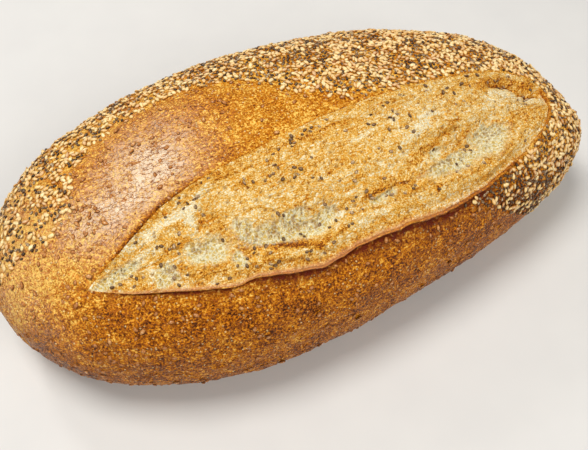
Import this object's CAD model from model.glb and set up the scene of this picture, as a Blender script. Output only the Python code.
"""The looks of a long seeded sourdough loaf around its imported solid.

Crust, torn face, sesame and chia are four meshes. Metres, +Z up, the loaf along X with its
torn cut leaning to the front (-Y).
"""

import itertools
import math

import bmesh
import bpy
import numpy as np
from mathutils import Matrix, Vector


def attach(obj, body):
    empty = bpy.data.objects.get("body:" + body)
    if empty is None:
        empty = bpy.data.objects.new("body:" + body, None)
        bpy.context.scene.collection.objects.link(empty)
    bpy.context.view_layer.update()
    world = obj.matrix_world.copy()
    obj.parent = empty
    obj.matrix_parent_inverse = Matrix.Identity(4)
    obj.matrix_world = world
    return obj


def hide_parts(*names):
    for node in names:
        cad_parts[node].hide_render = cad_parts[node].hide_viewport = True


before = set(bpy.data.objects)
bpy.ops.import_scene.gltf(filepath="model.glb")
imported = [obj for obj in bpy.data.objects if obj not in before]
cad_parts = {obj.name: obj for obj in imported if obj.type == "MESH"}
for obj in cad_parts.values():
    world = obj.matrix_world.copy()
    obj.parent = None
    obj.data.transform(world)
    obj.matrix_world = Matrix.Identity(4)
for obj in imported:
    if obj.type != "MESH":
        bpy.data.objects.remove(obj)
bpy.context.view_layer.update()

MM = 0.001

# Size and outline of the loaf, as in the solid
LENGTH = 0.295
HALF_WIDTH = 0.0797
HEIGHT = 0.086
FRONT_SHIFT, FRONT_FULLNESS = 0.26, 1.82
BACK_SHIFT, BACK_FULLNESS = -0.095, 2.42
END_BEND = 0.012
CROWN_Y = -0.006
BELLY_HEIGHT = 0.41 * HEIGHT
DOME_FULLNESS = 2.35
TUCK_FULLNESS = 2.9
TUCK_SINK = 0.006
WAVE_HEIGHT = 0.0008
WAVE_ALONG, WAVE_ACROSS = 0.021, 0.017

# The cut, as in the solid
CUT_START_X, CUT_START_Y = -0.103, -0.0444
CUT_LENGTH = 0.228
CUT_SLOPE = 0.182
CUT_HALF_WIDTH = 0.0295
CUT_BOW = 0.008
FACE_SINK = 0.0012
FRONT_GROOVE, BACK_GROOVE = 0.0012, 0.0028
GROOVE_REACH = 0.005
FRONT_LIP_RISE, BACK_LIP_RISE = 0.0014, 0.0010
LIP_REACH = 0.0045

# Waves of the two lips, in millimetres: along the cut, and shift to the front
BACK_LIP_WAVES = ((0.0, 0.0), (8.0, 1.6), (17.0, 2.4), (25.0, 1.6), (35.0, 0.0), (60.0, -0.5), (80.0, 0.0))
FRONT_LIP_WAVES = (
    (0.0, 0.0), (25.0, 0.2), (41.0, 0.1), (60.0, 1.0), (68.0, 0.0), (74.0, 0.5), (95.0, 2.5),
    (107.0, 0.4), (121.0, -0.9), (138.0, -0.6), (150.0, -0.9), (167.0, -1.5), (190.0, -2.4), (208.0, -2.4),
    (220.0, -1.0), (228.0, 0.0),
)

# Hollows (-) and swells (+) of the torn face, as in the solid: along the cut, across it,
# their reach along and across as shares of the cut, and the depth
FACE_FORMS = (
    ("end hollow", 0.790, -0.28, 0.125, 0.34, -0.0050),
    ("end pit", 0.955, 0.25, 0.030, 0.35, -0.0040),
    ("middle hollow", 0.385, -0.50, 0.100, 0.20, -0.0030),
    ("middle fold", 0.370, -0.80, 0.100, 0.09, 0.0012),
    ("small hollow", 0.235, -0.40, 0.050, 0.28, -0.0018),
    ("tip hollow", 0.120, -0.20, 0.060, 0.50, -0.0014),
    ("long pocket", 0.570, -0.60, 0.045, 0.14, -0.0016),
    ("floury swell", 0.385, 0.15, 0.110, 0.45, 0.0020),
    ("upper swell", 0.600, 0.25, 0.120, 0.40, 0.0012),
    ("inner ridge", 0.780, -0.80, 0.150, 0.10, 0.0018),
    ("hollow's brow", 0.740, 0.10, 0.110, 0.10, 0.0014),
)

# Windows of pale open crumb in the torn face, in millimetres: along the cut, across it from
# its middle, reach along and across, turn in degrees, depth
CRUMB_WINDOWS = (
    ("tip", 11.0, -0.5, 10.0, 4.5, 0.0, 0.5),
    ("behind the tip", 33.0, -10.0, 4.5, 4.0, -30.0, 0.8),
    ("net", 51.0, -7.0, 9.5, 4.8, -12.0, 1.0),
    ("beside the net", 63.0, -14.5, 3.5, 2.6, -50.0, 0.8),
    ("crescent, left", 66.5, -6.0, 5.5, 4.0, -50.0, 1.1),
    ("crescent, low", 80.0, -11.6, 13.0, 4.4, -12.0, 1.3),
    ("crescent, right", 97.0, -14.0, 12.0, 4.2, 4.0, 1.3),
    ("crescent, top", 88.0, -8.5, 6.5, 3.6, 0.0, 1.0),
    ("long pocket", 129.5, -16.6, 7.5, 1.6, 2.0, 0.8),
    ("end hollow, low", 168.0, -15.6, 18.0, 3.8, -3.0, 0.9),
    ("end hollow, right", 190.0, -12.0, 11.0, 5.5, 18.0, 0.7),
    ("end hollow, middle", 184.0, -8.0, 6.5, 3.4, 10.0, 1.1),
    ("end hollow, left pit", 158.0, -8.0, 4.0, 2.2, 20.0, 1.2),
)

# Floury and stretched pale patches, and patches of bright orange skin, laid out as the windows
# are, with the strength last
PALE_PATCHES = (
    ("band by the back lip", 38.0, 10.4, 15.0, 2.4, 2.0, 1.1),
    ("upper streak", 54.0, 16.5, 5.0, 1.4, 14.0, 1.0),
    ("lower streak", 46.0, 8.2, 7.5, 3.0, -60.0, 1.0),
    ("mid streak", 129.0, 12.0, 6.0, 1.5, 8.0, 0.9),
    ("slanting streak", 153.0, 6.0, 14.0, 2.6, 30.0, 0.9),
    ("smooth end", 206.0, 1.0, 18.0, 9.0, -14.0, 0.3),
    ("end hollow floor", 184.0, -9.0, 30.0, 8.0, -4.0, 0.15),
    ("behind the hollow", 156.0, 12.5, 15.0, 3.4, 16.0, 0.25),
    ("low streak", 112.0, -22.0, 22.0, 2.0, 2.0, 0.6),
    ("tip edge", 22.0, 2.0, 10.0, 3.0, 8.0, 0.7),
)
ORANGE_PATCHES = (
    ("skin over the net", 55.0, 1.6, 8.5, 3.2, -32.0, 1.0),
    ("skin beside the net", 65.5, -12.0, 2.2, 5.0, 20.0, 1.0),
    ("mid patch", 121.0, -7.2, 7.0, 3.0, 8.0, 0.45),
    ("hollow's left patch", 150.0, -5.6, 7.0, 2.8, 14.0, 1.0),
    ("left of the net", 38.0, -2.0, 6.0, 2.6, 10.0, 0.7),
    ("under the net", 47.0, -13.0, 12.0, 2.4, -8.0, 0.7),
    ("hollow's upper patch", 160.0, -2.2, 7.5, 2.4, 24.0, 1.0),
    ("ridge in the hollow", 175.0, -4.5, 6.5, 2.0, 30.0, 1.0),
    ("under the crescent", 80.0, -16.6, 20.0, 2.4, -14.0, 1.0),
    ("under the hollow", 176.0, -23.5, 26.0, 3.0, 0.0, 0.15),
    ("back slope", 62.0, 25.0, 34.0, 7.0, 8.0, 0.25),
    ("end slope", 205.0, 13.0, 16.0, 2.4, -22.0, 0.9),
)

# Raised folds with browned crests, in millimetres: from and to along and across the cut,
# bow, half width, height, how brown
FOLDS = (
    ("under the crescent", 60.0, -4.0, 114.0, -19.3, -7.2, 1.2, 1.0, 1.0),
    ("second under it", 70.0, -20.0, 104.0, -23.0, -1.0, 0.7, 0.4, 0.2),
    ("left shell", 68.0, 0.2, 81.0, -4.6, 3.0, 0.45, 0.5, 0.8),
    ("right shell", 84.0, -7.0, 99.0, -8.8, 2.6, 0.45, 0.6, 0.9),
    ("swell's shell", 66.0, 11.6, 75.5, 8.6, 4.0, 0.5, 0.5, 1.0),
    ("over the pocket", 118.0, -13.8, 146.0, -14.8, 1.6, 0.7, 0.7, 1.0),
    ("under the pocket", 120.0, -18.8, 152.0, -18.6, -0.8, 0.7, 0.5, 0.7),
    ("inner ridge", 150.0, -19.5, 212.0, -13.0, -4.2, 0.9, 0.9, 0.35),
    ("inner ridge, second", 160.0, -22.8, 200.0, -18.0, -3.2, 0.6, 0.5, 0.35),
    ("brow", 157.0, 0.8, 189.0, -0.8, 0.8, 0.6, 0.8, 0.2),
    ("back slope", 28.0, 8.6, 96.0, 17.0, 6.0, 0.6, 0.5, 0.3),
    ("upper tear", 84.0, 22.0, 132.0, 21.0, 1.5, 0.6, 0.5, 0.8),
    ("end rim", 194.0, 20.0, 228.0, 3.5, 3.5, 1.7, 1.0, 0.8),
)
END_CAVITY = ("end cavity", 197.0, 16.8, 228.0, -2.0, 3.5, 1.3, 2.4, 1.0)
END_STRIP = ("bright floor of the cavity", 196.0, 12.6, 228.0, -6.0, 3.5, 2.3, 0.0, 1.0)

# The open bubble by the cut's left tip, in millimetres along and across the cut
BUBBLE_PLACE, BUBBLE_RADIUS = (20.0, -1.2), 3.4

# Relief of the crust: wave length and height of each layer
LUMP_SIZE, LUMP_HEIGHT = 0.024, 0.00060
BLISTER_SIZE, BLISTER_HEIGHT = 0.0040, 0.0011
GRAIN_SIZE, GRAIN_HEIGHT = 0.0024, 0.00022
WRINKLE_SIZE, WRINKLE_HEIGHT = 0.0040, 0.0007
ROUGH_SIZE, ROUGH_HEIGHT = 0.0030, 0.0008

# How finely the surfaces are cut
LIP_COLUMNS = 624
FLANK_RINGS = 84
TUCK_RINGS = 36
BASE_RINGS = 10
FACE_COLUMNS = 460
FACE_ROWS = 156
FACE_MARGIN, FACE_OVERLAP = 0.055, 0.0018
LINE_SAMPLES, LIP_SAMPLES, OUTLINE_SAMPLES, TUCK_SAMPLES = 160, 6000, 4000, 800
SKIRT_DEPTH = 0.004
UNDER_FACE = (0.010, -0.030, HEIGHT - 0.022)
FAR_FROM_LIP = 0.2

# Sesame and chia
SESAME_SIZE = (0.0033, 0.0024, 0.0014)
CHIA_SIZE = (0.0021, 0.0015, 0.0012)
SEED_SPACING = 0.00172
SEED_DENSITY = 1200000.0
SEED_DRAW = 7
SESAME_TONES = (
    (0.0, (254, 236, 184)), (0.35, (248, 218, 146)), (0.7, (232, 182, 96)), (1.0, (190, 124, 50)),
)
CHIA_TONES = ((0.0, (62, 34, 14)), (0.4, (96, 66, 40)), (0.7, (156, 128, 96)), (1.0, (216, 192, 156)))

# Where the seeded back begins: places along the loaf and across it
SEEDED_BACK = (
    (-0.140, -0.022), (-0.129, -0.021), (-0.121, -0.018), (-0.114, -0.018), (-0.108, -0.014),
    (-0.102, -0.011), (-0.099, 0.012), (-0.085, 0.022), (-0.073, 0.031), (-0.054, 0.037),
    (-0.037, 0.039), (-0.027, 0.036), (-0.015, 0.032), (-0.001, 0.022), (0.006, 0.015),
    (0.015, 0.012), (0.026, 0.006), (0.045, 0.003), (0.065, -0.006),
)

# The lower edge of the seeds on the right front: places along the loaf and heights
SEEDED_FRONT = (
    (0.050, 0.080), (0.057, 0.070), (0.060, 0.0635), (0.068, 0.060), (0.080, 0.055), (0.093, 0.041),
    (0.109, 0.027), (0.125, 0.020),
)

# Where dough-covered seeds crowd on the crust: place, reach and share
SEED_CLUSTERS = (
    (-0.101, -0.010, 0.004, 0.5),
    (-0.093, -0.017, 0.005, 0.6),
    (-0.101, -0.021, 0.005, 0.4),
    (-0.056, -0.053, 0.005, 0.7),
    (-0.016, -0.053, 0.004, 0.7),
    (-0.105, -0.045, 0.014, 0.10),
)

# Camera, fitted to the photograph's outline of the loaf
CAMERA_TURN, CAMERA_RISE = -18.0, 58.0
CAMERA_DISTANCE = 0.3545
CAMERA_AIM = (0.0, -0.012, 0.040)
CAMERA_RIGHT, CAMERA_UP = -0.0046, -0.0112
CAMERA_LENS = 45.0

# Lights: name, place, size, power, colour
LIGHT_AIM = (0.0, 0.0, 0.04)
LAMPS = (
    ("ceiling lamp", (-0.25, 0.10, 1.05), 0.46, 7.8, (1.0, 0.97, 0.92)),
    ("window", (-0.345, 0.74, 0.736), 0.16, 1.7, (1.0, 0.98, 0.95)),
    ("front fill", (0.30, -0.80, 0.85), 0.7, 6.2, (1.0, 0.96, 0.90)),
)
ROOM_COLOUR, ROOM_STRENGTH = (1.0, 0.97, 0.93, 1.0), 0.25

# Random values: whole numbers that mix places well, and a shift off the noise's own corner
MIXERS = (73856093, 19349663, 83492791, 2654435761, 1274126177)
LATTICE_OFFSET = 19.7


def smooth_step(low, high, value):
    share = np.clip((value - low) / (high - low), 0.0, 1.0)
    return share * share * (3.0 - 2.0 * share)


def blend(a, b, share):
    return a + (b - a) * share


def bell(value, reach):
    """1 where the value is 0, fading to both sides over the reach."""
    return np.exp(-((value / reach) ** 2))


def spot(x, y, x_reach, y_reach):
    """1 where both values are 0, fading all round over the two reaches."""
    return np.exp(-((x / x_reach) ** 2) - (y / y_reach) ** 2)


def scatter(first, second, third, draw):
    """Random values from 0 to 1, fixed by three whole numbers and a draw."""
    mixed = first * MIXERS[0] ^ second * MIXERS[1] ^ third * MIXERS[2] ^ draw * MIXERS[3]
    mixed = (mixed ^ (mixed >> 13)) * MIXERS[4]
    return ((mixed ^ (mixed >> 16)) & 0xFFFF) / 65535.0


def lattice_noise(points, wave, draw):
    """Smooth random values from -1 to 1 at 3-D points, one wave long in metres."""
    scaled = points / wave + LATTICE_OFFSET
    cell = np.floor(scaled).astype(np.int64)
    inside = scaled - cell
    ease = inside ** 3 * (inside * (inside * 6.0 - 15.0) + 10.0)
    total = np.zeros(len(points))
    for corner in itertools.product((0, 1), repeat=3):
        value = scatter(*(cell + np.array(corner)).T, draw) * 2.0 - 1.0
        total += value * np.prod(np.where(corner, ease, 1.0 - ease), axis=1)
    return total


def cell_noise(a, b, size, draw):
    """Distance to the nearest and the next of scattered points, and the nearest one's own value."""
    p, q = a / size, b / size
    row, column = np.floor(p).astype(np.int64), np.floor(q).astype(np.int64)
    nearest, next_one = np.full(len(a), 9.0), np.full(len(a), 9.0)
    value = np.zeros(len(a))
    for step_row, step_column in itertools.product((-1, 0, 1), repeat=2):
        i, j = row + step_row, column + step_column
        row_gap = i + 0.1 + 0.8 * scatter(i, j, 1, draw) - p
        column_gap = j + 0.1 + 0.8 * scatter(i, j, 2, draw) - q
        far = np.hypot(row_gap, column_gap)
        closer = far < nearest
        next_one = np.where(closer, nearest, np.minimum(next_one, far))
        value = np.where(closer, scatter(i, j, 3, draw), value)
        nearest = np.where(closer, far, nearest)
    return nearest, next_one, value


def layered_noise(points, wave, draw, layers=3, fade=0.5):
    total = np.zeros(len(points))
    for layer in range(layers):
        total += fade ** layer * lattice_noise(points, wave / 2.0 ** layer, draw + 11 * layer)
    return total


def full_curve(u, shift, fullness):
    lean = u + shift * (1.0 - u * u)
    return np.clip(1.0 - np.abs(lean) ** fullness, 0.0, 1.0) ** (1.0 / fullness)


def outline_points(turn):
    """Plan outline of the loaf, turn running once round from the right end by the back."""
    u = np.cos(turn)
    front = -full_curve(u, FRONT_SHIFT, FRONT_FULLNESS)
    back = full_curve(u, BACK_SHIFT, BACK_FULLNESS)
    y = HALF_WIDTH * np.where(np.sin(turn) < 0.0, front, back) - END_BEND * u * u
    return np.stack([u * LENGTH / 2.0, y], axis=-1)


def outline_table():
    """Direction and reach of the outline, seen from the middle of the dome."""
    points = outline_points(np.linspace(0.0, 2.0 * math.pi, OUTLINE_SAMPLES, endpoint=False))
    direction = np.arctan2(points[:, 1] - CROWN_Y, points[:, 0])
    order = np.argsort(direction)
    return direction[order], np.hypot(points[:, 0], points[:, 1] - CROWN_Y)[order]


DIRECTIONS, REACHES = outline_table()


def dome_share(x, y):
    """0 in the middle of the loaf, 1 on its outline."""
    reach = np.interp(np.arctan2(y - CROWN_Y, x), DIRECTIONS, REACHES, period=2.0 * math.pi)
    return np.hypot(x, y - CROWN_Y) / reach


def dome_height(x, y):
    full = np.clip(1.0 - dome_share(x, y) ** DOME_FULLNESS, 0.0, 1.0) ** (1.0 / DOME_FULLNESS)
    return BELLY_HEIGHT + (HEIGHT - BELLY_HEIGHT) * full


def dome_out(x, y, step=0.0005):
    """Direction square to the dome."""
    slope_x = (dome_height(x + step, y) - dome_height(x - step, y)) / (2.0 * step)
    slope_y = (dome_height(x, y + step) - dome_height(x, y - step)) / (2.0 * step)
    out = np.stack([-slope_x, -slope_y, np.ones_like(slope_x)], axis=-1)
    return out / np.linalg.norm(out, axis=-1, keepdims=True)


def crust_wave(x, y):
    """Slow rise and fall of the crust, gone at the outline."""
    wave = np.sin(x / WAVE_ALONG + 1.7 * np.sin(y / 0.030))
    wave = wave + 0.6 * np.sin(y / WAVE_ACROSS + x / 0.050 + 0.8)
    return WAVE_HEIGHT * wave * np.clip(1.0 - dome_share(x, y) ** 4, 0.0, 1.0)


def cut_closing(s):
    return np.sqrt(np.clip(1.0 - s ** 8, 0.0, 1.0))


def cut_middle(s):
    bow = CUT_BOW * (1.0 - (1.0 - s) ** 2.5) * cut_closing(s)
    return CUT_START_Y + CUT_SLOPE * CUT_LENGTH * s - bow


def cut_half_width(s):
    return CUT_HALF_WIDTH * (1.0 - (1.0 - s) ** 5) * cut_closing(s)


def cut_plan(s, v):
    """Plan points of the cut: s along it from 0 to 1, v across it from -1 to 1, front first."""
    return np.stack([CUT_START_X + CUT_LENGTH * s, cut_middle(s) + v * cut_half_width(s)], axis=-1)


def uneven_cut(s, v):
    """Plan points of the cut with its lips running unevenly, the front one in its own waves."""
    plan = cut_plan(s, v)
    for waves, side in ((FRONT_LIP_WAVES, -1.0), (BACK_LIP_WAVES, 1.0)):
        wave = np.interp(s * CUT_LENGTH / MM, *zip(*waves)) * MM
        plan[..., 1] -= wave * smooth_step(-0.3, 0.8, v * side)
    flat = np.concatenate([plan.reshape(-1, 2), np.zeros((plan.size // 2, 1))], axis=1)
    shifts = []
    for draw in (201, 211):
        slow, quick = lattice_noise(flat, 0.027, draw), lattice_noise(flat, 0.008, draw + 1)
        shifts.append(0.0006 * slow + 0.0005 * quick)
    start = smooth_step(CUT_START_X, CUT_START_X + 0.02, flat[:, 0])
    return plan + (np.stack(shifts, axis=-1) * start[:, None]).reshape(plan.shape)


def spread_by_length(points, count, closed):
    """Even steps along a line of points, and the share of the line's own steps there."""
    line = np.vstack([points, points[:1]]) if closed else points
    run = np.concatenate([[0.0], np.cumsum(np.linalg.norm(np.diff(line, axis=0), axis=1))])
    wanted = np.linspace(0.0, run[-1], count, endpoint=not closed)
    place = np.interp(wanted, run, np.arange(len(line)))
    columns = [np.interp(place, np.arange(len(line)), line[:, axis]) for axis in range(line.shape[1])]
    return np.stack(columns, axis=-1), place


def mesh_from_grid(name, rows, close_columns, caps):
    """A mesh from rows of points, wound outwards, with a point at each end where caps has one."""
    count = rows.shape[1]
    points = rows.reshape(-1, 3)
    index = np.arange(len(points)).reshape(rows.shape[:2])
    beside = np.roll(index, -1, axis=1) if close_columns else index[:, 1:]
    here = index if close_columns else index[:, :-1]
    quads = np.stack([here[:-1], beside[:-1], beside[1:], here[1:]], axis=-1).reshape(-1, 4)
    faces = [tuple(face) for face in quads.tolist()]
    extra = []
    for cap, row, flip in zip(caps, (0, -1), (True, False)):
        if cap is None:
            continue
        tip = len(points) + len(extra)
        extra.append(cap)
        for column in range(count):
            a, b = int(index[row, column]), int(index[row, (column + 1) % count])
            faces.append((b, a, tip) if flip else (a, b, tip))
    vertices = points.tolist() + extra
    mesh = bpy.data.meshes.new(name)
    mesh.from_pydata(vertices, [], faces)
    mesh.update()
    return mesh


def read_vectors(items, key):
    """One vector of each item of a mesh, in rows."""
    flat = np.empty(len(items) * 3)
    items.foreach_get(key, flat)
    return flat.reshape(-1, 3)


def set_points(mesh, points):
    mesh.vertices.foreach_set("co", np.ascontiguousarray(points, dtype=np.float32).ravel())
    mesh.update()


def face_outwards(mesh):
    shape = bmesh.new()
    shape.from_mesh(mesh)
    bmesh.ops.recalc_face_normals(shape, faces=shape.faces[:])
    shape.to_mesh(mesh)
    shape.free()
    mesh.shade_smooth()


def store(mesh, name, values):
    layer = mesh.attributes.new(name, "FLOAT", "POINT")
    layer.data.foreach_set("value", np.ascontiguousarray(values, dtype=np.float32))


def make_object(name, mesh):
    thing = bpy.data.objects.new(name, mesh)
    bpy.context.scene.collection.objects.link(thing)
    return thing


# Crust

# The lip in cross-section: distance out from the cut in millimetres, the height of the front
# lip as a share of its rise and of the back lip as a share of its own; under the face, both in
# millimetres
LIP_PROFILE = (
    (1.2, -7.5, -7.5), (0.9, -4.5, -4.5), (0.45, -2.4, -2.4), (0.10, -1.1, -1.0), (0.00, -0.3, -0.2),
    (0.12, 0.50, 0.15), (0.38, 1.00, 0.45), (0.70, 0.90, 0.75), (1.10, 0.45, 0.95), (1.70, 0.08, 1.00),
    (2.5, 0.00, 0.95), (3.4, 0.10, 0.85),
)


def lip_line():
    """Even points round the cut, with how far along the cut and on which side each lies."""
    def along_and_side(turn):
        return (1.0 - np.cos(turn)) / 2.0, np.where(turn < math.pi, -1.0, 1.0)

    s, side = along_and_side(np.linspace(0.0, 2.0 * math.pi, LIP_SAMPLES, endpoint=False))
    _, place = spread_by_length(cut_plan(s, side), LIP_COLUMNS, closed=True)
    turn = place * 2.0 * math.pi / LIP_SAMPLES
    s, side = along_and_side(turn)
    return uneven_cut(s, side), s, -np.sin(turn)


def soft_back(s):
    """1 where the back lip is a soft slope, 0 where it is a step."""
    return smooth_step(0.15, 0.27, s)


def crisp_front(s):
    """1 along the crisp front lip, less round the seeded right end."""
    return blend(0.12, 1.0, smooth_step(0.86, 0.70, s))


def tuck_rings(ends):
    """Rings from the belly down the tucked flank and in to the middle of the flat base."""
    rings = []
    base_full = BELLY_HEIGHT / (BELLY_HEIGHT + TUCK_SINK)
    last_angle = math.asin(base_full ** (TUCK_FULLNESS / 2.0))
    angle = last_angle * np.linspace(0.0, 1.0, TUCK_SAMPLES) ** 1.5
    tuck = np.stack([np.cos(angle), np.sin(angle)], axis=-1) ** (2.0 / TUCK_FULLNESS)
    side_view = np.stack([tuck[:, 0] * HALF_WIDTH, tuck[:, 1] * (BELLY_HEIGHT + TUCK_SINK)], axis=-1)
    side_view, _ = spread_by_length(side_view, TUCK_RINGS + 1, closed=False)
    middle = np.array([0.0, CROWN_Y])
    steps = [(r / HALF_WIDTH, BELLY_HEIGHT - h) for r, h in side_view[1:]]
    base_share = steps[-1][0]
    steps += [(base_share * (1.0 - (k + 1) / (BASE_RINGS + 1)), 0.0) for k in range(BASE_RINGS)]
    for share, level in steps:
        flat = blend(middle, ends, share)
        rings.append(np.concatenate([flat, np.full((len(flat), 1), max(0.0, level))], axis=1)[None])
    return rings


def make_crust():
    """Rings from under the torn face over the lip, down the flanks and in over the base."""
    lip, s, across = lip_line()
    front = smooth_step(0.35, -0.35, across)
    wobble = np.stack([lip[:, 0], lip[:, 1], np.zeros(len(lip))], axis=-1)
    away = 0.00025 * (1.0 + lattice_noise(wobble, 0.0035, 4))
    away *= smooth_step(0.0, 0.05, s)

    turns = math.pi + np.linspace(0.0, 2.0 * math.pi, LIP_SAMPLES, endpoint=False)
    ends, _ = spread_by_length(outline_points(turns), LIP_COLUMNS, closed=True)

    shares = np.sin(0.5 * math.pi * np.linspace(0.0, 1.0, LINE_SAMPLES))
    plan = blend(lip[:, None, :], ends[:, None, :], shares[None, :, None])
    height = dome_height(plan[..., 0], plan[..., 1])
    line = np.concatenate([plan, height[..., None]], axis=-1)
    run = np.cumsum(np.linalg.norm(np.diff(line, axis=1), axis=2), axis=1)
    run = np.concatenate([np.zeros((len(lip), 1)), run], axis=1)

    lip_run = np.array(LIP_PROFILE)[:, 0] * MM
    distances = []
    lip_count = len(LIP_PROFILE)
    ring_count = lip_count + FLANK_RINGS
    place = np.zeros((ring_count, len(lip)))
    for column in range(len(lip)):
        rest = np.linspace(lip_run[-1], run[column, -1], FLANK_RINGS + 1)[1:]
        wanted = np.concatenate([lip_run + away[column], rest])
        place[:, column] = np.interp(wanted, run[column], shares)
        distances.append(np.concatenate([lip_run, rest]))
    distances = np.array(distances).T
    points = blend(lip[None], ends[None], place[..., None])
    x, y = points[..., 0], points[..., 1]
    z = dome_height(x, y)
    out = dome_out(x, y)

    soft = soft_back(s) * (1.0 - front)
    rise = blend(BACK_LIP_RISE * (1.0 - soft), FRONT_LIP_RISE * crisp_front(s), front)
    rise *= smooth_step(0.0, 0.12, s) * (0.85 + 0.45 * lattice_noise(wobble, 0.014, 5))
    lift = rise[None] * np.exp(-distances / LIP_REACH) * blend(1.0, 0.35, front)
    profile = np.array(LIP_PROFILE)
    profile = blend(profile[:, 2:3], profile[:, 1:2], front[None])
    depth = smooth_step(0.0, 0.07, s)
    inner = np.where(profile < 0.0, profile * MM, 0.0) * blend(0.35, 1.0, depth)[None]
    edge = np.clip(profile, 0.0, 1.0) * rise[None]
    lift[:lip_count] = inner + edge * np.exp(-distances[:lip_count] / (3.0 * LIP_REACH))
    lift += crust_wave(x, y)
    base = np.stack([x, y, z], axis=-1)
    upper = base + lift[..., None] * out * smooth_step(1.0, 0.985, dome_share(x, y))[..., None]

    rows = np.concatenate([upper, *tuck_rings(ends)], axis=0)

    mesh = mesh_from_grid("crust", rows, True, (UNDER_FACE, (0.0, CROWN_Y, 0.0)))
    face_outwards(mesh)

    count = len(mesh.vertices)
    grid_count = rows.shape[0] * rows.shape[1]
    from_lip = np.full(count, FAR_FROM_LIP)
    from_lip[:ring_count * len(lip)] = distances.ravel()
    along = np.zeros(count)
    along[:grid_count] = np.tile(s, rows.shape[0])
    fore = np.zeros(count)
    fore[:grid_count] = np.tile(front, rows.shape[0])
    level = np.ones(count)
    level[:lip_count * len(lip)] = np.clip(profile, -1.0, 1.0).ravel()
    level[:lip_count * len(lip)][distances[:lip_count].ravel() > 0.0015] = 1.0
    roughen_crust(mesh, from_lip, level)
    paint_crust(mesh, from_lip, along, fore, level)
    return mesh


def roughen_crust(mesh, from_lip, level):
    """Blisters, wrinkles and grain of the crust, kept off the flat base and the hidden part."""
    points = read_vectors(mesh.vertices, "co")
    normals = read_vectors(mesh.vertex_normals, "vector")
    x, y, z = points.T
    open_air = smooth_step(-0.9, -0.2, level) * smooth_step(0.0005, 0.006, z)
    lumps = LUMP_HEIGHT * layered_noise(points, LUMP_SIZE, 21, 3)
    blisters = np.clip(lattice_noise(points, BLISTER_SIZE, 31) - 0.25, 0.0, 1.0) * BLISTER_HEIGHT
    grain = GRAIN_HEIGHT * layered_noise(points, GRAIN_SIZE, 41, 2)
    left_top = spot(x + 0.080, y + 0.010, 0.026, 0.020)
    creased = lattice_noise(points * np.array([1.0, 2.2, 1.0]), WRINKLE_SIZE, 51)
    wrinkles = WRINKLE_HEIGHT * left_top * (1.0 - np.abs(creased) * 2.0)
    below_lip = spot(x + 0.055, z - 0.064, 0.014, 0.004) * (y < -0.04)
    rough = ROUGH_HEIGHT * below_lip * lattice_noise(points, ROUGH_SIZE, 61)
    near_lip = smooth_step(0.0, 0.006, from_lip)
    shift = lumps * near_lip + (blisters + grain) * blend(0.35, 1.0, near_lip) + wrinkles + rough
    set_points(mesh, points + (shift * open_air)[:, None] * normals)


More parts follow.
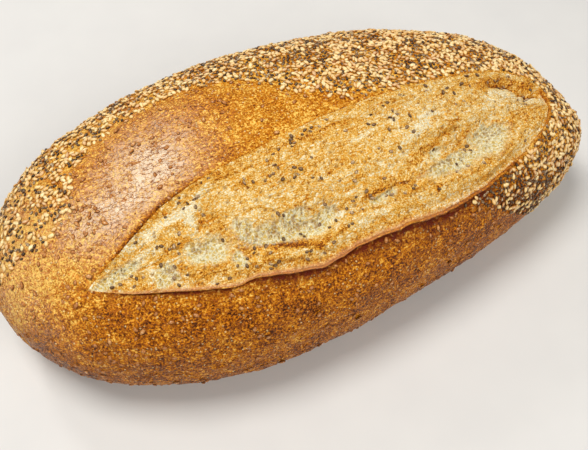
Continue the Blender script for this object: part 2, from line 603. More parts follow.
def paint_crust(mesh, from_lip, along, fore, level):
    """Masks for the crust's material and for where the seeds lie."""
    points = read_vectors(mesh.vertices, "co")
    x, y, z = points.T
    slow = layered_noise(points, 0.045, 71, 3)
    patchy = layered_noise(points, 0.010, 81, 3)
    soft = soft_back(along) * (1.0 - fore)

    front_side = smooth_step(-0.030, -0.055, y) * smooth_step(0.080, 0.066, z)
    low = smooth_step(0.040, 0.004, z)
    bake = 0.30 + 0.18 * front_side + 0.14 * low + 0.06 * slow + 0.13 * patchy
    bake -= 0.17 * smooth_step(-0.085, -0.125, x) * smooth_step(0.036, 0.060, z)
    bake += 0.06 * smooth_step(-0.02, 0.05, x) * smooth_step(0.0, 0.03, y)
    bake += 0.19 * smooth_step(-0.104, -0.124, x) * smooth_step(-0.032, -0.054, y)
    bake += 0.08 * front_side * smooth_step(0.03, 0.06, x)
    bake -= 0.06 * soft * bell(from_lip, 0.006)
    line = (1.0 - fore) * (1.0 - soft) * smooth_step(0.03, 0.08, along)
    bake += 0.36 * line * bell(from_lip, 0.0013)

    sheen = 0.85 * spot(x + 0.069, y + 0.004 - 0.3 * (x + 0.069), 0.022, 0.022)
    sheen += 0.42 * spot(x + 0.097, y + 0.019, 0.013, 0.013)
    sheen += 0.03 * spot(x + 0.075, y - 0.036, 0.022, 0.014)
    sheen += 0.14 * smooth_step(-0.105, -0.130, x) * smooth_step(0.036, 0.056, z)
    dust = np.clip(sheen * (1.0 + 0.35 * patchy), 0.0, 1.0) * smooth_step(0.0, 0.0028, from_lip)

    hidden = smooth_step(0.2, -0.6, level)
    uneven = 0.75 + 0.9 * patchy
    below = np.clip(from_lip - 0.0016, 0.0, None)
    front_burn = 0.8 * bell(below, 0.0022) + (0.85 + 0.4 * patchy) * bell(below, 0.0065)
    front_burn *= smooth_step(0.0006, 0.0011, from_lip) * crisp_front(along)
    front_burn *= fore * smooth_step(0.02, 0.09, along)
    back_burn = bell(from_lip - 0.0003, 0.0009) * uneven * blend(0.08, 0.55, line)
    inner_wall = hidden * blend(blend(0.35, 0.2, soft), 0.15, fore)
    edge = bell(from_lip - 0.0002, 0.0006) * fore * crisp_front(along)
    edge *= (0.8 + 0.6 * patchy) * blend(1.0, 0.6, smooth_step(0.35, 0.7, along))

    store(mesh, "dust", dust)
    store(mesh, "burn", np.clip(np.maximum(front_burn + back_burn, inner_wall), 0.0, 1.0))
    store(mesh, "edge", np.clip(edge, 0.0, 1.0))

    back_line = np.interp(x, *zip(*SEEDED_BACK))
    back = smooth_step(-0.003, 0.004, y - back_line + 0.0018 * patchy) * smooth_step(0.002, 0.016, z)
    back *= blend(1.0, 0.74, smooth_step(-0.020, -0.070, x))
    right = smooth_step(0.104, 0.116, x + 0.004 * patchy)
    front_low = np.interp(x, *zip(*SEEDED_FRONT))
    right_front = smooth_step(-0.003, 0.004, z - front_low + 0.002 * patchy) * (y < -0.015) * (x > 0.045)
    seeding = np.maximum.reduce([back, right, right_front])
    rim = blend(0.0001, 0.0014, crisp_front(along) * fore)
    bare = smooth_step(rim, 2.0 * rim, from_lip) * smooth_step(0.2, 0.9, level) * (z > 0.004)
    stray = 0.045 + 0.05 * smooth_step(-0.03, -0.09, x) * smooth_step(0.05, 0.02, z) * (y < -0.04)
    stray += 0.05 * smooth_step(-0.060, -0.090, x) * (y > -0.045)
    stray += 0.04 * smooth_step(0.0, 0.02, y) * smooth_step(0.07, 0.05, x)
    stray *= 1.0 - 0.8 * dust
    for x_place, y_place, reach, share in SEED_CLUSTERS:
        stray += share * np.exp(-(((x - x_place) ** 2 + (y - y_place) ** 2) / reach ** 2))
    store(mesh, "seeding", np.clip(np.maximum(seeding, stray) * bare, 0.0, 1.0))
    dense = smooth_step(0.16, 0.36, seeding)
    low_right = smooth_step(-0.030, -0.045, y) * (x > 0.04)
    bed = blend(-0.12, 0.14, low_right)
    store(mesh, "bake", np.clip(bake + bed * smooth_step(0.3, 0.9, seeding), 0.0, 1.0))
    chia_patches = 0.42 + 0.10 * smooth_step(-0.07, -0.10, x)
    chia_patches += 0.26 * lattice_noise(points, 0.009, 91) + 0.30 * low_right
    store(mesh, "chia_share", np.clip(blend(0.90, chia_patches, dense), 0.0, 1.0))
    store(mesh, "coat", 1.0 - dense)


# Torn face

def ellipse_mask(a, b, place, soft):
    """1 inside a turned ellipse, 0 outside, in millimetres along and across the cut."""
    _, a_place, b_place, a_reach, b_reach, turn, _ = place
    cos_turn, sin_turn = math.cos(math.radians(turn)), math.sin(math.radians(turn))
    da, db = a - a_place, b - b_place
    far = np.hypot((da * cos_turn + db * sin_turn) / a_reach, (db * cos_turn - da * sin_turn) / b_reach)
    return smooth_step(1.0 + soft, 1.0 - soft, far)


def fold_mask(a, b, fold):
    """Crest of a curved fold: 1 on its line, fading to its half width and its ends."""
    _, a0, b0, a1, b1, bow, half_width, _, _ = fold
    share = (a - a0) / (a1 - a0)
    line = b0 + (b1 - b0) * share + bow * 4.0 * share * (1.0 - share)
    ends = smooth_step(0.0, 0.12, share) * smooth_step(1.0, 0.88, share)
    return bell(b - line, half_width) * ends


def make_torn_face():
    """Upper sheet of the torn face with a skirt and an underside, its edges under the lips."""
    ease = np.linspace(0.0, 1.0, FACE_COLUMNS)
    s = 0.002 + 0.9965 * (0.72 * ease + 0.28 * np.sin(0.5 * math.pi * ease))
    v = np.linspace(-1.0 - FACE_MARGIN, 1.0 + FACE_MARGIN, FACE_ROWS)
    s_grid, v_grid = np.meshgrid(s, v)
    beyond = np.clip(np.abs(v_grid) - 1.0, 0.0, None) / FACE_MARGIN
    half_grid = cut_half_width(s_grid)
    plan = uneven_cut(s_grid, np.clip(v_grid, -1.0, 1.0))
    plan[..., 1] += np.sign(v_grid) * beyond * FACE_OVERLAP
    plan[..., 0] += FACE_OVERLAP * smooth_step(0.985, 1.0, s_grid)
    x, y = plan[..., 0], plan[..., 1]
    shape = x.shape
    s_flat, v_flat, half = s_grid.ravel(), v_grid.ravel(), half_grid.ravel()
    a = s_flat * CUT_LENGTH / MM
    b = v_flat * half / MM
    flat = np.stack([a, b, np.zeros_like(a)], axis=-1) * MM

    warp_a = a + 2.4 * layered_noise(flat, 0.008, 101, 2)
    warp_b = b + 1.6 * layered_noise(flat * np.array([0.6, 1.0, 1.0]), 0.007, 111, 3)
    along_streaks = np.stack([warp_a * 0.24, warp_b, np.zeros_like(a)], axis=-1) * MM
    streaks = layered_noise(along_streaks, 0.0034, 121, 3, 0.7)
    broad = layered_noise(flat * np.array([0.45, 1.0, 1.0]), 0.016, 151, 2)
    lumps = layered_noise(flat, 0.0045, 161, 2)
    grain = layered_noise(flat, 0.0013, 171, 2, 0.7)

    # Flakes rise slowly and break off sharply
    turn = 2.3 * layered_noise(along_streaks, 0.0085, 181, 3, 0.55) + 0.8 * broad
    turn -= np.floor(turn)
    flake = smooth_step(0.0, 0.9, turn) * smooth_step(1.0, 0.92, turn)
    flake_foot = bell(turn, 0.11) + bell(1.0 - turn, 0.035)
    flake_crest = smooth_step(0.50, 0.90, turn) * smooth_step(1.0, 0.95, turn)
    flaky = smooth_step(-0.5, 0.4, layered_noise(flat, 0.020, 191, 2))

    window, lowered, under_edge = np.zeros_like(a), np.zeros_like(a), np.zeros_like(a)
    for place in CRUMB_WINDOWS:
        mask = ellipse_mask(warp_a + 0.8 * lumps, warp_b + 0.8 * grain, place, 0.28)
        window = np.maximum(window, mask)
        lowered = np.maximum(lowered, mask * place[6])
        under_edge = np.maximum(under_edge, mask * smooth_step(-0.3, 0.7, (warp_b - place[2]) / place[4]))
    pale, orange = (
        np.maximum.reduce([ellipse_mask(warp_a, warp_b, place, edge) * place[6] for place in patches])
        for patches, edge in ((PALE_PATCHES, 0.5), (ORANGE_PATCHES, 0.45))
    )
    brown, raised = np.zeros_like(a), np.zeros_like(a)
    calm_a, calm_b = blend(a, warp_a, 0.4), blend(b, warp_b, 0.5)
    for fold in FOLDS:
        mask = fold_mask(calm_a, calm_b, fold)
        raised += mask * fold[7]
        brown = np.maximum(brown, fold_mask(calm_a, calm_b + 0.5, fold) * fold[8])

    in_cut = 1.0 - np.abs(v_flat)
    front_gap, back_gap = (1.0 + v_flat) * half, (1.0 - v_flat) * half
    soft = soft_back(s_flat)
    begun = smooth_step(0.0, 0.1, s_flat)
    lift = -FACE_SINK * begun * (1.0 - 0.75 * soft * smooth_step(0.2, 0.8, v_flat))
    lift -= FRONT_GROOVE * 0.5 * bell(front_gap, GROOVE_REACH) * begun
    lift -= BACK_GROOVE * (0.45 - 0.4 * soft) * bell(back_gap - 0.003, GROOVE_REACH) * begun
    lift *= smooth_step(-0.0012, 0.0042, back_gap) * smooth_step(-0.0025, 0.0020, front_gap)
    for _, s_place, v_place, s_reach, v_reach, depth in FACE_FORMS:
        lift += depth * spot(s_flat - s_place, v_flat - v_place, s_reach, v_reach)
    calm = smooth_step(0.0, 0.08, in_cut) * smooth_step(0.0, 0.04, s_flat)
    torn = calm * (1.0 - 0.85 * window)
    web_a, web_b = a + 0.7 * lumps, 0.65 * (b + 0.5 * grain + 0.5 * lumps)
    near, next_one, value = cell_noise(web_a, web_b, 1.25, 13)
    wide, _, wide_value = cell_noise(web_a, web_b, 3.4, 19)
    hole = smooth_step(0.50, 0.20, near) * smooth_step(0.62, 0.80, 0.75 * value + 0.50 * under_edge)
    wide_hole = smooth_step(0.42, 0.22, wide) * smooth_step(0.75, 0.95, wide_value + 0.3 * under_edge)
    hole = np.maximum(hole, wide_hole)
    far_near, _, far_value = cell_noise(a, b, 4.2, 17)
    stray_hole = smooth_step(0.17, 0.08, far_near) * (far_value > 0.45)
    pit = np.maximum(hole * window, stray_hole * (1.0 - window))
    strand = smooth_step(0.28, 0.05, next_one - near) * window
    cavity = fold_mask(calm_a, calm_b, END_CAVITY)
    strip = fold_mask(calm_a, calm_b, END_STRIP)

    relief = 0.65 * (flake - 0.4) * flaky * torn + 0.30 * streaks * torn + 0.5 * broad * calm
    relief += 0.36 * lumps * calm + 0.15 * grain * calm + (0.9 * raised - 0.75 * lowered) * calm
    relief_within = (0.45 * strand - 0.7 * pit - 0.15 * under_edge) * calm
    relief += relief_within - END_CAVITY[7] * cavity - 1.6 * beyond.ravel()
    bubble = np.hypot(a - BUBBLE_PLACE[0], b - BUBBLE_PLACE[1]) / BUBBLE_RADIUS
    relief += calm * (0.25 * bell(bubble - 1.05, 0.16) - 0.8 * smooth_step(1.0, 0.5, bubble))
    lift += relief * MM + crust_wave(x, y).ravel()

    base = np.stack([x, y, dome_height(x, y)], axis=-1)
    top = base + lift.reshape(shape)[..., None] * dome_out(x, y)
    mesh, top_count = close_under("torn_face", top)

    front_tone = blend(0.08, -0.12, smooth_step(0.60, 0.75, s_flat))
    tone = 0.42 + 0.11 * streaks + 0.08 * broad - 0.15 * flake_crest * flaky
    tone += 0.20 * flake_foot * flaky * torn
    tone += -0.34 * pale + 0.24 * orange * (1.0 - pale) + 0.36 * brown + 0.13 * grain + 0.06 * lumps
    tone -= 0.06 * soft * bell(back_gap, 0.0060)
    tone += 0.03 * begun * bell(back_gap, 0.0022) + front_tone * bell(front_gap, 0.006)
    tone = np.maximum(blend(tone, 0.06, strip * 0.9), 0.95 * np.clip(cavity, 0.0, 1.0))
    lip_pink = smooth_step(0.02, 0.09, s_flat) * smooth_step(0.95, 0.45, s_flat)
    crowd = smooth_step(-0.6, 0.6, lattice_noise(flat * np.array([0.4, 1.0, 1.0]), 0.006, 221))
    specks = 0.22 * crowd * smooth_step(0.02, 0.08, in_cut) * (1.0 - 0.4 * window)
    specks *= blend(0.75, 1.6, v_flat > 0.2) * blend(1.0, 0.45, smooth_step(0.55, 0.75, s_flat))
    layers = {
        "tone": np.clip(tone, 0.0, 1.0),
        "window": np.clip(window * (1.0 - cavity), 0.0, 1.0),
        "pit": pit * (1.0 - strand),
        "rim": lip_pink * bell(front_gap, 0.0008),
        "coat": np.full_like(a, 0.12),
        "seeding": specks,
        "chia_share": np.ones_like(a),
    }
    underside = np.zeros(len(mesh.vertices) - top_count)
    for name, values in layers.items():
        store(mesh, name, np.concatenate([values, underside]))
    return mesh


def close_under(name, top):
    """Close an open sheet of points with a skirt and a coarse underside."""
    row_count, column_count, _ = top.shape
    index = np.arange(row_count * column_count).reshape(row_count, column_count)
    drop = np.array([0.0, 0.0, -SKIRT_DEPTH])
    under = top[[0, -1]] + drop
    sides = [top[1:-1, column] + drop for column in (0, -1)]
    points = np.concatenate([top.reshape(-1, 3), under.reshape(-1, 3), *sides])
    start = row_count * column_count
    front_row = list(range(start, start + column_count))
    back_row = [place + column_count for place in front_row]
    left = list(range(start + 2 * column_count, start + 2 * column_count + row_count - 2))
    right = [place + row_count - 2 for place in left]
    quads = np.stack([index[:-1, :-1], index[:-1, 1:], index[1:, 1:], index[1:, :-1]], axis=-1)
    faces = quads.reshape(-1, 4).tolist()
    rim = [index[0], index[1:-1, -1], index[-1][::-1], index[1:-1, 0][::-1]]
    rim = np.concatenate(rim).tolist()
    hem = front_row + right + back_row[::-1] + left[::-1]
    for k in range(len(rim)):
        n = (k + 1) % len(rim)
        faces.append([rim[n], rim[k], hem[k], hem[n]])
    for k in range(column_count - 1):
        faces.append([front_row[k + 1], front_row[k], back_row[k], back_row[k + 1]])
    faces.append([front_row[0], *left, back_row[0]])
    faces.append([back_row[-1], *right[::-1], front_row[-1]])
    mesh = bpy.data.meshes.new(name)
    mesh.from_pydata(points.tolist(), [], faces)
    face_outwards(mesh)
    return mesh, start


# Seeds

def make_seed_shape(name, size, sides, rings, taper):
    """A flat drop, its broad end at -X, lying on its underside."""
    shape = bmesh.new()
    bmesh.ops.create_uvsphere(shape, u_segments=sides, v_segments=rings, radius=0.5,
                              matrix=Matrix.Rotation(math.pi / 2.0, 4, "Y"))
    heights = [0.5 + vertex.co.z for vertex in shape.verts]
    for vertex in shape.verts:
        along = 0.5 + vertex.co.x
        narrow = 1.0 - taper * along * along
        vertex.co = (vertex.co.x * size[0], vertex.co.y * size[1] * narrow, vertex.co.z * size[2] * narrow)
    mesh = bpy.data.meshes.new(name)
    shape.to_mesh(mesh)
    shape.free()
    mesh.shade_smooth()
    store(mesh, "rise", heights)
    return make_object(name, mesh)


def join_sheets(name, sheets, layers):
    """One mesh of several, with their shared point layers."""
    points, faces, values = [], [], {layer: [] for layer in layers}
    start = 0
    for sheet in sheets:
        points.append(read_vectors(sheet.vertices, "co"))
        for face in sheet.polygons:
            faces.append([start + index for index in face.vertices])
        for layer in layers:
            data = np.empty(len(sheet.vertices), dtype=np.float32)
            sheet.attributes[layer].data.foreach_get("value", data)
            values[layer].append(data)
        start += len(sheet.vertices)
    mesh = bpy.data.meshes.new(name)
    mesh.from_pydata(np.concatenate(points).tolist(), [], faces)
    mesh.update()
    for layer in layers:
        store(mesh, layer, np.concatenate(values[layer]))
    return mesh


def feed(tree, socket, value):
    """Link an output to an input, or set the input's own value."""
    if isinstance(value, bpy.types.NodeSocket):
        tree.links.new(value, socket)
    else:
        socket.default_value = value


def add_node(tree, kind, fed=None, **settings):
    """A node with its settings, and with its inputs fed by name or by place."""
    node = tree.nodes.new(kind)
    for key, value in settings.items():
        setattr(node, key, value)
    for key, value in (fed or {}).items():
        feed(tree, node.inputs[key], value)
    return node


def math_node(tree, operation, *values):
    return add_node(tree, "ShaderNodeMath", dict(enumerate(values)), operation=operation).outputs[0]


def times(tree, a, b):
    return math_node(tree, "MULTIPLY", a, b)


def scaled(tree, value, factor, start):
    """The value times a factor, plus a start."""
    return math_node(tree, "MULTIPLY_ADD", value, factor, start)


def total(tree, value, *others):
    for other in others:
        value = math_node(tree, "ADD", value, other)
    return value


def seed_tree():
    """Lay one kind of seed on a surface, by the layers seeding and chia_share."""
    tree = bpy.data.node_groups.new("lay_seeds", "GeometryNodeTree")
    inputs = (
        ("Surface", "Geometry"), ("Seed shape", "Object"), ("Spacing", "Float"), ("Density", "Float"),
        ("Draw", "Int"), ("Lay chia", "Bool"), ("Tilt", "Float"), ("Smallest", "Float"),
        ("Largest", "Float"), ("Raise", "Float"), ("Sink when coated", "Float"),
        ("Growth when coated", "Float"), ("Material", "Material"),
    )
    for name, kind in inputs:
        tree.interface.new_socket(name=name, in_out="INPUT", socket_type=f"NodeSocket{kind}")
    tree.interface.new_socket(name="Seeds", in_out="OUTPUT", socket_type="NodeSocketGeometry")
    given = add_node(tree, "NodeGroupInput").outputs
    result = add_node(tree, "NodeGroupOutput").inputs

    def layer(name):
        node = add_node(tree, "GeometryNodeInputNamedAttribute", {"Name": name}, data_type="FLOAT")
        return node.outputs["Attribute"]

    def feed_enabled(node, *values):
        """Feed the first inputs that the node's data type shows, and return its output."""
        for socket, value in zip([socket for socket in node.inputs if socket.enabled], values):
            feed(tree, socket, value)
        return next(socket for socket in node.outputs if socket.enabled)

    def chance(low, high, offset):
        """A random value for each seed, with a draw of its own."""
        draw = {"Seed": math_node(tree, "ADD", given["Draw"], offset)}
        return feed_enabled(add_node(tree, "FunctionNodeRandomValue", draw, data_type="FLOAT"), low, high)

    spread = add_node(tree, "GeometryNodeDistributePointsOnFaces", distribute_method="POISSON", fed={
        "Mesh": given["Surface"], "Distance Min": given["Spacing"], "Density Max": given["Density"],
        "Density Factor": layer("seeding"), "Seed": given["Draw"],
    }).outputs
    less = add_node(tree, "FunctionNodeCompare", data_type="FLOAT", operation="LESS_THAN")
    is_chia = feed_enabled(less, chance(0.0, 1.0, 1), layer("chia_share"))
    wanted = add_node(tree, "FunctionNodeBooleanMath", {0: is_chia, 1: given["Lay chia"]}, operation="XNOR")

    tilt = given["Tilt"]
    other_way = times(tree, tilt, -1.0)
    lean = add_node(tree, "ShaderNodeCombineXYZ", {
        "X": chance(other_way, tilt, 2), "Y": chance(other_way, tilt, 3), "Z": chance(0.0, 2.0 * math.pi, 4),
    })
    as_turn = add_node(tree, "FunctionNodeEulerToRotation", {0: lean.outputs[0]})
    turned = add_node(tree, "FunctionNodeRotateRotation", rotation_space="LOCAL", fed={
        0: spread["Rotation"], 1: as_turn.outputs[0],
    })
    shape = add_node(tree, "GeometryNodeObjectInfo", {"Object": given["Seed shape"]})
    growth = scaled(tree, layer("coat"), given["Growth when coated"], 1.0)
    lay = add_node(tree, "GeometryNodeInstanceOnPoints", {
        "Points": spread["Points"], "Selection": wanted.outputs[0], "Instance": shape.outputs["Geometry"],
        "Rotation": turned.outputs[0],
        "Scale": times(tree, chance(given["Smallest"], given["Largest"], 5), growth),
    })

    raised = times(tree, given["Raise"], chance(0.1, 1.6, 6))
    sunk = times(tree, given["Sink when coated"], layer("coat"))
    up = add_node(tree, "ShaderNodeCombineXYZ", {"Z": math_node(tree, "SUBTRACT", raised, sunk)})
    shift = add_node(tree, "GeometryNodeTranslateInstances", {
        "Instances": lay.outputs["Instances"], "Translation": up.outputs[0],
    })
    tone = add_node(tree, "GeometryNodeStoreNamedAttribute", data_type="FLOAT", domain="INSTANCE", fed={
        "Geometry": shift.outputs["Instances"], "Name": "tone", "Value": chance(0.0, 1.0, 7),
    })
    real = add_node(tree, "GeometryNodeRealizeInstances", {"Geometry": tone.outputs["Geometry"]})
    finish = add_node(tree, "GeometryNodeSetMaterial", {
        "Geometry": real.outputs["Geometry"], "Material": given["Material"],
    })
    feed(tree, result["Seeds"], finish.outputs["Geometry"])
    return tree


def lay_seeds(name, bed, tree, values):
    """Run the seed tree over the bed, and return what it lays as a plain mesh object."""
    carrier = make_object(f"{name}_bed", bed)
    modifier = carrier.modifiers.new("lay seeds", "NODES")
    modifier.node_group = tree
    for item in tree.interface.items_tree:
        if item.in_out == "INPUT" and item.name in values:
            modifier[item.identifier] = values[item.name]
    bpy.context.view_layer.update()
    graph = bpy.context.evaluated_depsgraph_get()
    mesh = bpy.data.meshes.new_from_object(carrier.evaluated_get(graph))
    mesh.name = name
    bpy.data.objects.remove(carrier, do_unlink=True)
    mesh.shade_smooth()
    return make_object(name, mesh)


# Materials, with their colours as on a screen, 0 to 255

def srgb(red, green, blue):
    """A colour given as on a screen as the linear colour that shaders take."""
    def linear(value):
        value /= 255.0
        return value / 12.92 if value <= 0.04045 else ((value + 0.055) / 1.055) ** 2.4
    return (linear(red), linear(green), linear(blue), 1.0)


def new_material(name, roughness, specular=0.5):
    """A material, its nodes and the inputs of its shader."""
    material = bpy.data.materials.new(name)
    material.use_nodes = True
    shader = material.node_tree.nodes["Principled BSDF"].inputs
    shader["Roughness"].default_value = roughness
    shader["Specular IOR Level"].default_value = specular
    return material, material.node_tree, shader


def mix_colour(tree, share, low, high, mode="MIX"):
    """A mix of two colours, each an output or a colour as on a screen."""
    low, high = (srgb(*colour) if isinstance(colour, tuple) else colour for colour in (low, high))
    fed = {"Factor": share, 6: low, 7: high}
    return add_node(tree, "ShaderNodeMix", fed, data_type="RGBA", blend_type=mode).outputs[2]


def lay_over(tree, colour, *layers):
    """The colour with others over it in turn, each by its own share."""
    for share, over in layers:
        colour = mix_colour(tree, share, colour, over)
    return colour


def map_range(tree, value, from_low, from_high, to_low=0.0, to_high=1.0):
    fed = dict(enumerate((value, from_low, from_high, to_low, to_high)))
    return add_node(tree, "ShaderNodeMapRange", fed, interpolation_type="SMOOTHSTEP").outputs[0]


def layer_value(tree, name):
    node = add_node(tree, "ShaderNodeAttribute", attribute_type="GEOMETRY", attribute_name=name)
    return node.outputs["Fac"]


def object_place(tree):
    return add_node(tree, "ShaderNodeTexCoord").outputs["Object"]


def noise_value(tree, place, scale, detail, roughness):
    return add_node(tree, "ShaderNodeTexNoise", {
        "Vector": place, "Scale": scale, "Detail": detail, "Roughness": roughness,
    }).outputs["Fac"]


def object_noise(tree, scale, detail, stretch=None, turn=0.0):
    place = object_place(tree)
    if stretch is not None:
        place = add_node(tree, "ShaderNodeMapping", {
            "Vector": place, "Scale": stretch, "Rotation": (0.0, 0.0, turn),
        }).outputs["Vector"]
    return noise_value(tree, place, scale, detail, 0.55)


def shaken_place(tree, scale, reach):
    """Object coordinates pushed about by noise, for patterns that should look uneven."""
    place = object_place(tree)
    noise = add_node(tree, "ShaderNodeTexNoise", {"Vector": place, "Scale": scale})
    fed = {0: noise.outputs["Color"], 1: (reach, reach, reach), 2: place}
    return add_node(tree, "ShaderNodeVectorMath", fed, operation="MULTIPLY_ADD").outputs[0]


def add_bump(tree, shader, height, strength, distance):
    bump = add_node(tree, "ShaderNodeBump", {"Strength": strength, "Distance": distance, "Height": height})
    feed(tree, shader["Normal"], bump.outputs["Normal"])


def off_middle(tree, value):
    """How far a value from 0 to 1 lies from its middle."""
    return math_node(tree, "ABSOLUTE", math_node(tree, "SUBTRACT", value, 0.5))


def around_middle(tree, value, reach):
    """A mask from 0 to 1 as a shift of half its reach to each side."""
    return times(tree, math_node(tree, "SUBTRACT", value, 0.5), reach)


def dough_grain_group():
    """Fine mottle and grain shared by the crust and the torn face."""
    tree = bpy.data.node_groups.new("dough_grain", "ShaderNodeTree")
    for name in ("Mottle size", "Grain size"):
        tree.interface.new_socket(name=name, in_out="INPUT", socket_type="NodeSocketFloat")
    given = add_node(tree, "NodeGroupInput").outputs
    place = object_place(tree)

    def noise(size, detail):
        return noise_value(tree, place, math_node(tree, "DIVIDE", 1.0, size), detail, 0.6)

    mottle = map_range(tree, noise(given["Mottle size"], 3.0), 0.30, 0.70)
    grain = map_range(tree, noise(given["Grain size"], 2.0), 0.32, 0.68)
    crease = map_range(tree, off_middle(tree, noise(given["Mottle size"], 4.0)), 0.035, 0.0)
    dots = add_node(tree, "ShaderNodeTexVoronoi", feature="F1", fed={
        "Vector": place, "Scale": math_node(tree, "DIVIDE", 1.6, given["Mottle size"]),
    }).outputs
    draw = add_node(tree, "ShaderNodeSeparateColor", {0: dots["Color"]}).outputs[0]
    dot = map_range(tree, dots["Distance"], 0.30, 0.12)
    glint = times(tree, dot, map_range(tree, draw, 0.55, 0.70))
    speck = times(tree, dot, map_range(tree, draw, 0.22, 0.12))
    height = scaled(tree, crease, -0.5, scaled(tree, glint, 0.8, scaled(tree, mottle, 0.5, grain)))

    given_out = {
        "Mottle": mottle, "Grain": grain, "Crease": crease, "Glint": glint, "Speck": speck, "Height": height,
    }
    for name in given_out:
        tree.interface.new_socket(name=name, in_out="OUTPUT", socket_type="NodeSocketFloat")
    add_node(tree, "NodeGroupOutput", given_out)
    return tree


def use_grain(tree, group, mottle_size, grain_size):
    sizes = {"Mottle size": mottle_size, "Grain size": grain_size}
    return add_node(tree, "ShaderNodeGroup", sizes, node_tree=group).outputs


def colour_ramp(tree, value, stops):
    node = add_node(tree, "ShaderNodeValToRGB", {"Fac": value})
    ramp = node.color_ramp
    while len(ramp.elements) < len(stops):
        ramp.elements.new(0.5)
    for element, (place, colour) in zip(ramp.elements, stops):
        element.position = place
        element.color = srgb(*colour)
    return node.outputs["Color"]


def crust_material(group):
    material, tree, shader = new_material("baked_crust", 0.34, 0.14)
    grain = use_grain(tree, group, 0.0030, 0.0009)
    dust = layer_value(tree, "dust")
    folded = object_noise(tree, 430.0, 3.0, stretch=(0.40, 1.0, 0.8), turn=math.radians(-28.0))
    fold_line = map_range(tree, off_middle(tree, folded), 0.040, 0.0)
    lines = math_node(tree, "MAXIMUM", grain["Crease"], fold_line)
    tone = total(
        tree, layer_value(tree, "bake"), around_middle(tree, grain["Mottle"], 0.28),
        around_middle(tree, grain["Grain"], 0.62), times(tree, lines, 0.26),
        times(tree, grain["Speck"], 0.45),
    )
    colour = colour_ramp(tree, tone, (
        (0.00, (255, 206, 100)), (0.25, (230, 150, 26)), (0.50, (200, 116, 12)),
        (0.74, (158, 82, 8)), (1.00, (66, 28, 4)),
    ))
    crest = map_range(tree, grain["Height"], 0.20, 1.0)
    dusty = times(tree, dust, scaled(tree, crest, 0.8, 0.5))
    dusty = times(tree, dusty, scaled(tree, fold_line, -0.8, 1.0))
    cracked = times(tree, fold_line, scaled(tree, dust, 0.62, 0.15))
    burnt = times(tree, layer_value(tree, "burn"), scaled(tree, grain["Mottle"], 0.4, 0.7))
    pale_edge = times(tree, layer_value(tree, "edge"), scaled(tree, grain["Grain"], 0.6, 0.45))
    colour = lay_over(
        tree, colour, (dusty, (255, 230, 200)), (cracked, (138, 74, 30)),
        (times(tree, grain["Glint"], 0.75), (255, 224, 164)), (burnt, (100, 32, 8)),
        (pale_edge, (226, 156, 104)),
    )
    feed(tree, shader["Base Color"], colour)
    add_bump(tree, shader, total(tree, grain["Height"], times(tree, folded, 1.4)), 0.8, 0.0006)
    return material


def torn_face_material(group):
    material, tree, shader = new_material("torn_dough", 0.62, 0.18)
    grain = use_grain(tree, group, 0.0024, 0.0007)
    window = layer_value(tree, "window")
    fibres = object_noise(tree, 1300.0, 3.0, stretch=(0.22, 1.0, 1.0))
    tone = total(
        tree, layer_value(tree, "tone"), around_middle(tree, grain["Mottle"], 0.18),
        around_middle(tree, grain["Grain"], 0.50), around_middle(tree, fibres, 0.50),
        times(tree, grain["Crease"], 0.16),
    )
    colour = colour_ramp(tree, tone, (
        (0.00, (255, 246, 214)), (0.22, (252, 222, 156)), (0.42, (244, 195, 94)),
        (0.62, (234, 161, 40)), (0.82, (198, 116, 26)), (1.00, (122, 58, 12)),
    ))
    web = add_node(tree, "ShaderNodeTexVoronoi", feature="DISTANCE_TO_EDGE", fed={
        "Vector": shaken_place(tree, 700.0, 0.0022), "Scale": 540.0,
    })
    strand = map_range(tree, web.outputs["Distance"], 0.22, 0.04)
    crumb = mix_colour(tree, strand, (232, 200, 112), (255, 250, 214))
    pink = times(tree, layer_value(tree, "rim"), scaled(tree, grain["Grain"], 0.5, 0.5))
    colour = lay_over(
        tree, colour, (times(tree, grain["Glint"], 0.5), (255, 236, 182)), (pink, (232, 170, 122)),
        (times(tree, window, 0.9), crumb), (times(tree, layer_value(tree, "pit"), 0.70), (162, 108, 46)),
    )
    feed(tree, shader["Base Color"], colour)
    height = total(tree, grain["Height"], times(tree, fibres, 0.9))
    add_bump(tree, shader, scaled(tree, times(tree, window, strand), 0.3, height), 0.8, 0.0006)
    return material


def seed_material(name, stops, roughness, mottle_scale, dark_share, top_share):
    """Seeds with their own tone, a shaded foot and a bright top, and those in dough coated."""
    material, tree, shader = new_material(name, roughness, 0.28)
    coat = layer_value(tree, "coat")
    colour = colour_ramp(tree, layer_value(tree, "tone"), stops)
    fleck = map_range(tree, object_noise(tree, mottle_scale, 2.0), 0.42, 0.62)
    colour = mix_colour(tree, fleck, mix_colour(tree, 1.0, colour, dark_share, "MULTIPLY"), colour)
    rise = scaled(tree, coat, -0.16, layer_value(tree, "rise"))
    foot = map_range(tree, rise, 0.72, 0.42, 0.0, scaled(tree, coat, 0.35, 0.40))
    top = map_range(tree, rise, 0.70, 0.95, 0.0, scaled(tree, coat, 0.5, top_share))
    colour = lay_over(
        tree, colour, (times(tree, coat, 0.85), (186, 118, 56)), (foot, (78, 34, 8)), (top, (255, 232, 186)),
    )
    feed(tree, shader["Roughness"], scaled(tree, coat, -0.18, roughness))
    feed(tree, shader["Base Color"], colour)
    add_bump(tree, shader, fleck, 0.15, 0.0002)
    return material


def floor_material():
    material, tree, shader = new_material("plain_floor", 0.85)
    soft = object_noise(tree, 30.0, 2.0)
    feed(tree, shader["Base Color"], mix_colour(tree, soft, (214, 214, 214), (222, 222, 221)))
    return material


# The scene

def add_floor():
    shape = bmesh.new()
    bmesh.ops.create_grid(shape, x_segments=1, y_segments=1, size=3.0)
    mesh = bpy.data.meshes.new("floor")
    shape.to_mesh(mesh)
    shape.free()
    floor = make_object("floor", mesh)
    mesh.materials.append(floor_material())


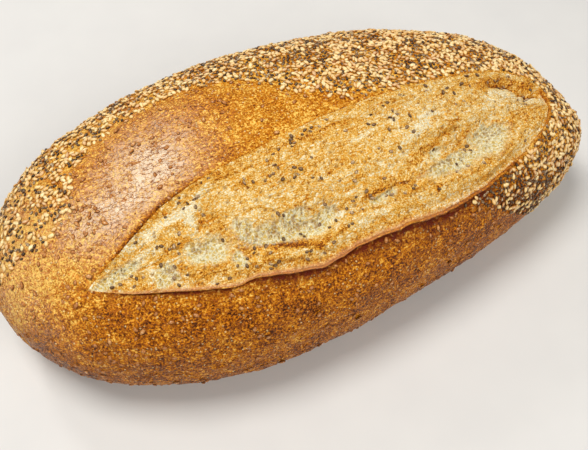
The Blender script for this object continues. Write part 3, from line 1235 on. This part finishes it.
def add_light(name, place, size, power, colour):
    data = bpy.data.lights.new(name, "AREA")
    data.shape = "DISK"
    data.size = size
    data.energy = power
    data.color = colour
    lamp = bpy.data.objects.new(name, data)
    lamp.location = place
    lamp.rotation_euler = (Vector(LIGHT_AIM) - Vector(place)).to_track_quat("-Z", "Y").to_euler()
    bpy.context.scene.collection.objects.link(lamp)


def add_camera():
    turn, rise = math.radians(CAMERA_TURN), math.radians(CAMERA_RISE)
    back = Vector((math.sin(turn) * math.cos(rise), -math.cos(turn) * math.cos(rise), math.sin(rise)))
    right = Vector((math.cos(turn), math.sin(turn), 0.0))
    up = back.cross(right)
    data = bpy.data.cameras.new("camera")
    data.lens = CAMERA_LENS
    data.sensor_width = 36.0
    data.clip_start = 0.01
    camera = bpy.data.objects.new("camera", data)
    place = Vector(CAMERA_AIM) + back * CAMERA_DISTANCE + right * CAMERA_RIGHT + up * CAMERA_UP
    camera.matrix_world = Matrix.Translation(place) @ Matrix((right, up, back)).transposed().to_4x4()
    bpy.context.scene.collection.objects.link(camera)
    bpy.context.scene.camera = camera


def set_the_stage():
    add_floor()
    add_camera()
    for lamp in LAMPS:
        add_light(*lamp)
    world = bpy.data.worlds.new("room")
    world.use_nodes = True
    room = world.node_tree.nodes["Background"].inputs
    room["Color"].default_value = ROOM_COLOUR
    room["Strength"].default_value = ROOM_STRENGTH
    bpy.context.scene.world = world
    bpy.context.scene.view_settings.view_transform = "Standard"


def main():
    set_the_stage()
    grain = dough_grain_group()
    crust = make_object("crust", make_crust())
    crust.data.materials.append(crust_material(grain))
    torn_face = make_object("torn_face", make_torn_face())
    torn_face.data.materials.append(torn_face_material(grain))

    bed = join_sheets("seed_bed", (crust.data, torn_face.data), ("seeding", "chia_share", "coat"))
    tree = seed_tree()
    sesame_shape = make_seed_shape("sesame_shape", SESAME_SIZE, 7, 4, 0.50)
    chia_shape = make_seed_shape("chia_shape", CHIA_SIZE, 6, 4, 0.15)
    shared = {"Spacing": SEED_SPACING, "Density": SEED_DENSITY, "Draw": SEED_DRAW}
    sesame = lay_seeds("sesame", bed.copy(), tree, {
        **shared, "Seed shape": sesame_shape, "Lay chia": False, "Tilt": 0.35,
        "Smallest": 0.82, "Largest": 1.12, "Raise": 0.0004,
        "Sink when coated": 0.0, "Growth when coated": 0.0,
        "Material": seed_material("toasted_sesame", SESAME_TONES, 0.45, 900.0, (222, 200, 170), 0.5),
    })
    chia = lay_seeds("chia", bed, tree, {
        **shared, "Seed shape": chia_shape, "Lay chia": True, "Tilt": 0.3,
        "Smallest": 0.76, "Largest": 1.14, "Raise": 0.00018,
        "Sink when coated": 0.00025, "Growth when coated": 0.35,
        "Material": seed_material("dark_chia", CHIA_TONES, 0.34, 1600.0, (150, 132, 114), 0.06),
    })
    for shape in (sesame_shape, chia_shape):
        bpy.data.objects.remove(shape, do_unlink=True)

    for piece, slot in ((crust, "crust"), (torn_face, "crumb"), (sesame, "sesame"), (chia, "chia")):
        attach(piece, "root")
        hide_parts("loaf")
        print(piece.name, "triangles", sum(len(face.vertices) - 2 for face in piece.data.polygons))


main()
